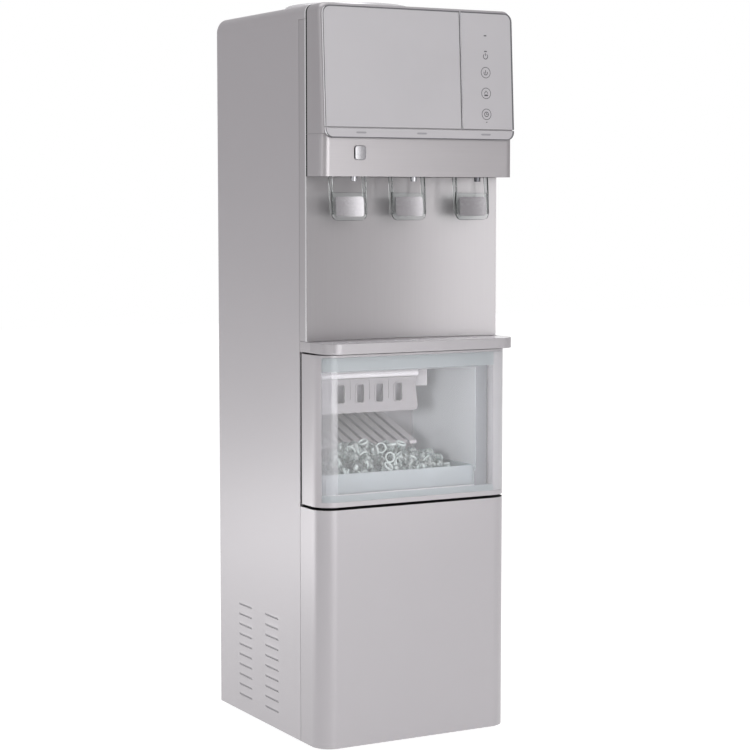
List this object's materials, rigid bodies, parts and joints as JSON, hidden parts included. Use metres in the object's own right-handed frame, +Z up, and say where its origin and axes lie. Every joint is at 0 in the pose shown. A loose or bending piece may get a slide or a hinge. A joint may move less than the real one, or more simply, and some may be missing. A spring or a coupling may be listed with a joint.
{
  "type": "water dispenser with ice maker",
  "caption": "Free-standing water dispenser: raked glass head, taps with push paddles, drip tray, and an ice maker with a bin behind a hinged clear door.",
  "frame": {"origin": "middle of the bounding box's base, on the floor under the feet", "axes": "+Z up, -Y towards the user (the side of the taps), +X to the user's right"},
  "size_m": [0.316, 0.365, 1.0597],
  "materials": {
    "silver": "satin silver-grey",
    "brushed": "brushed",
    "glass_grey": "grey-backed gloss",
    "clear": "clear",
    "liner": "satin",
    "white": "satin",
    "chrome": "polished",
    "pad": "satin",
    "steel": "bright",
    "galvanised": "dull",
    "dark": "matte",
    "rubber": "matte",
    "foam": "matte",
    "aluminium": "bare",
    "red": "gloss",
    "green": "gloss"
  },
  "bodies": {
    "cabinet": {"base_plate": "galvanised", "foot_front_left": "rubber", "foot_front_right": "rubber", "foot_rear_left": "rubber", "foot_rear_right": "rubber", "side_panel_left": "silver", "side_panel_right": "silver", "back_panel": "galvanised", "drain_plug": "white", "cord_gland": "dark", "switch_block": "dark", "top_cover": "silver", "bottle_collar": "chrome", "bottle_receiver": "white", "feed_probe": "white", "front_frame": "silver", "recess_panel": "brushed", "tap_bar": "brushed", "head_housing": "silver", "display_glass": "glass_grey", "control_pane": "glass_grey", "label_strip": "glass_grey", "dispensing_deck": "silver", "lower_front_panel": "silver", "door_pin_lower": "steel", "door_pin_upper": "steel", "ice_chamber": "liner", "ice_maker_housing": "white", "ice_curtain": "white", "evaporator": "steel", "mould_motor": "white", "ice_ramp": "white", "ice_water_tank": "white", "cold_tank": "foam", "hot_tank": "foam", "compressor": "dark", "condenser": "aluminium", "fan_shroud": "dark", "tap_valve_left": "white", "paddle_pin_left": "steel", "tap_valve_middle": "white", "paddle_pin_middle": "steel", "tap_valve_right": "white", "paddle_pin_right": "steel"},
    "door": {"door_frame": "silver", "door_window": "clear"},
    "ice_bin": {"ice_bin": "clear"},
    "ice_mould": {"ice_mould": "white"},
    "drip_tray": {"drip_tray": "silver"},
    "drip_grille": {"drip_grille": "silver"},
    "lock_button": {"lock_button": "chrome"},
    "paddle_left": {"paddle_left": "clear", "paddle_pad_left": "pad"},
    "paddle_middle": {"paddle_middle": "clear", "paddle_pad_middle": "pad"},
    "paddle_right": {"paddle_right": "clear", "paddle_pad_right": "pad"},
    "hot_switch_rocker": {"hot_switch_rocker": "red"},
    "ice_switch_rocker": {"ice_switch_rocker": "green"},
    "fan_rotor": {"fan_rotor": "dark"}
  },
  "joints": [
    {"name": "door_hinge", "type": "hinge", "parent": "cabinet", "child": "door", "pos_m": [0.152, -0.1055, 0.3485], "axis": [0, 0, 1], "range_deg": [0, 110]},
    {"name": "ice_bin_slide", "type": "slide", "parent": "cabinet", "child": "ice_bin", "axis": [0, -1, 0], "range_m": [0, 0.175]},
    {"name": "ice_mould_tilt", "type": "hinge", "parent": "cabinet", "child": "ice_mould", "pos_m": [-0.11654, -0.0415, 0.511], "axis": [1, 0, 0], "range_deg": [0, 75]},
    {"name": "drip_tray_slide", "type": "slide", "parent": "cabinet", "child": "drip_tray", "axis": [0, -1, 0], "range_m": [0, 0.07]},
    {"name": "drip_grille_lift", "type": "slide", "parent": "drip_tray", "child": "drip_grille", "axis": [0, 0, 1], "range_m": [0, 0.03]},
    {"name": "lock_button_press", "type": "slide", "parent": "cabinet", "child": "lock_button", "axis": [0, 1, 0], "range_m": [0, 0.003], "stiffness_N_per_m": 300, "springref_m": -0.002},
    {"name": "paddle_left_push", "type": "hinge", "parent": "cabinet", "child": "paddle_left", "pos_m": [-0.1, -0.1385, 0.818], "axis": [1, 0, 0], "range_deg": [0, 13], "stiffness_Nm_per_rad": 0.5, "springref_deg": -5.73},
    {"name": "paddle_middle_push", "type": "hinge", "parent": "cabinet", "child": "paddle_middle", "pos_m": [0, -0.13, 0.818], "axis": [1, 0, 0], "range_deg": [0, 13], "stiffness_Nm_per_rad": 0.5, "springref_deg": -5.73},
    {"name": "paddle_right_push", "type": "hinge", "parent": "cabinet", "child": "paddle_right", "pos_m": [0.1, -0.1385, 0.818], "axis": [1, 0, 0], "range_deg": [0, 13], "stiffness_Nm_per_rad": 0.5, "springref_deg": -5.73},
    {"name": "hot_switch_rocker_tip", "type": "hinge", "parent": "cabinet", "child": "hot_switch_rocker", "pos_m": [-0.00935, 0.1716, 0.64], "axis": [-1, 0, 0], "range_deg": [0, 14]},
    {"name": "ice_switch_rocker_tip", "type": "hinge", "parent": "cabinet", "child": "ice_switch_rocker", "pos_m": [0.00935, 0.1716, 0.64], "axis": [-1, 0, 0], "range_deg": [0, 14]},
    {"name": "fan_spin", "type": "hinge", "parent": "cabinet", "child": "fan_rotor", "pos_m": [-0.1075, 0.04, 0.0703], "axis": [1, 0, 0], "continuous": true}
  ],
  "couplings": [
    {"joint": "ice_bin_slide", "follows": "door_hinge", "m_per_rad": 0.09}
  ]
}
